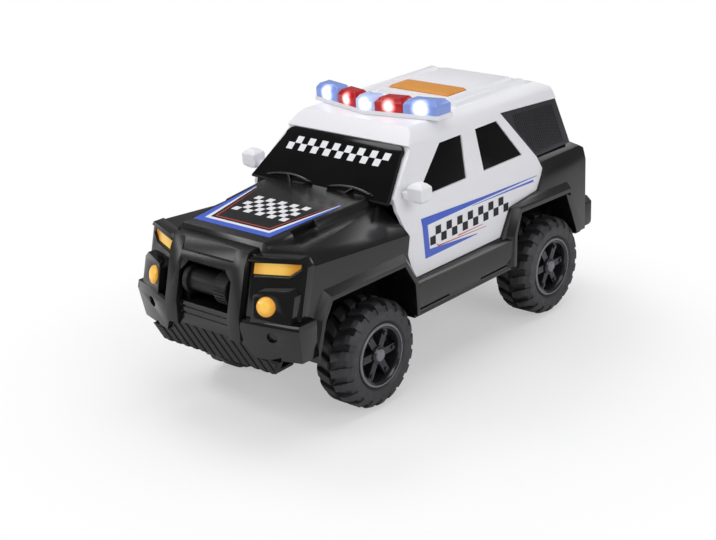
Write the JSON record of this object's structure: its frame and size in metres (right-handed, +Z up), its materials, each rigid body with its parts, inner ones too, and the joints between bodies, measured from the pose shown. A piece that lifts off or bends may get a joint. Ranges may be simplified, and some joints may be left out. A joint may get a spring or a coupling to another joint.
{
  "type": "toy police car",
  "caption": "Toy patrol car of the off-road kind: free-rolling wheels, push button and light bar on the roof, winch drum between the posts of the front guard.",
  "frame": {"origin": "on the ground under the middle of the car's overall box", "axes": "+X forward, +Y to the car's left, +Z up"},
  "size_m": [0.3, 0.134, 0.154],
  "materials": {
    "black_abs": "satin black moulding",
    "gloss_black": "gloss black moulding",
    "satin_black": "satin black moulding",
    "glazing": "gloss black glazing",
    "white_abs": "gloss white moulding",
    "amber_lens": "clear amber lens",
    "red_lens": "clear red lens",
    "blue_lens": "clear blue lens",
    "clear_lens": "clear lens",
    "orange_abs": "satin orange moulding",
    "tyre_pvc": "matt soft black",
    "rim_grey": "satin dark grey moulding",
    "steel": "bright drawn wire and screws",
    "board": "green board",
    "led": "clear epoxy",
    "cell": "printed sleeve",
    "knob_red": "red moulding"
  },
  "bodies": {
    "car": {"lower_body": "black_abs", "tailgate": "black_abs", "headlight_bezel_left": "gloss_black", "headlight_bezel_right": "gloss_black", "grille_guard": "gloss_black", "rear_canopy": "satin_black", "grille_panel": "satin_black", "front_bumper": "satin_black", "skid_plate": "satin_black", "winch_cradle": "satin_black", "rear_bumper": "satin_black", "chassis": "satin_black", "battery_cover": "satin_black", "button_switch": "satin_black", "power_switch": "satin_black", "speaker": "satin_black", "windscreen": "glazing", "side_windows_left": "glazing", "side_windows_right": "glazing", "upper_cabin": "white_abs", "mirror_left": "white_abs", "mirror_right": "white_abs", "lightbar_base": "white_abs", "headlight_left": "amber_lens", "headlight_right": "amber_lens", "fog_lamp_left": "amber_lens", "fog_lamp_right": "amber_lens", "lightbar_red": "red_lens", "tail_lamp_left": "red_lens", "tail_lamp_right": "red_lens", "lightbar_blue": "blue_lens", "lightbar_clear": "clear_lens", "winch_pin": "steel", "button_spring": "steel", "board_screws": "steel", "cover_screw": "steel", "battery_contacts": "steel", "chassis_screws": "steel", "lightbar_board": "board", "roof_board": "board", "lightbar_leds": "led", "batteries": "cell"},
    "front_wheels": {"front_axle": "steel", "rim_front_left": "rim_grey", "rim_front_right": "rim_grey", "tyre_front_left": "tyre_pvc", "tyre_front_right": "tyre_pvc"},
    "rear_wheels": {"rear_axle": "steel", "rim_rear_left": "rim_grey", "rim_rear_right": "rim_grey", "tyre_rear_left": "tyre_pvc", "tyre_rear_right": "tyre_pvc"},
    "button": {"roof_button": "orange_abs"},
    "winch": {"winch_drum": "satin_black"},
    "knob": {"switch_knob": "knob_red"}
  },
  "joints": [
    {"name": "front_wheels_turn", "type": "hinge", "parent": "car", "child": "front_wheels", "pos_m": [0.0745, 0, 0.0305], "axis": [0, 1, 0], "continuous": true},
    {"name": "rear_wheels_turn", "type": "hinge", "parent": "car", "child": "rear_wheels", "pos_m": [-0.0915, 0, 0.0305], "axis": [0, 1, 0], "continuous": true},
    {"name": "roof_button_press", "type": "slide", "parent": "car", "child": "button", "axis": [0, 0, -1], "range_m": [0, 0.0015], "stiffness_N_per_m": 900, "springref_m": -0.0008, "deforming": ["button_spring"]},
    {"name": "winch_turn", "type": "hinge", "parent": "car", "child": "winch", "pos_m": [0.1385, 0, 0.0803], "axis": [0, 1, 0], "continuous": true},
    {"name": "power_switch_slide", "type": "slide", "parent": "car", "child": "knob", "axis": [1, 0, 0], "range_m": [0, 0.004]}
  ]
}
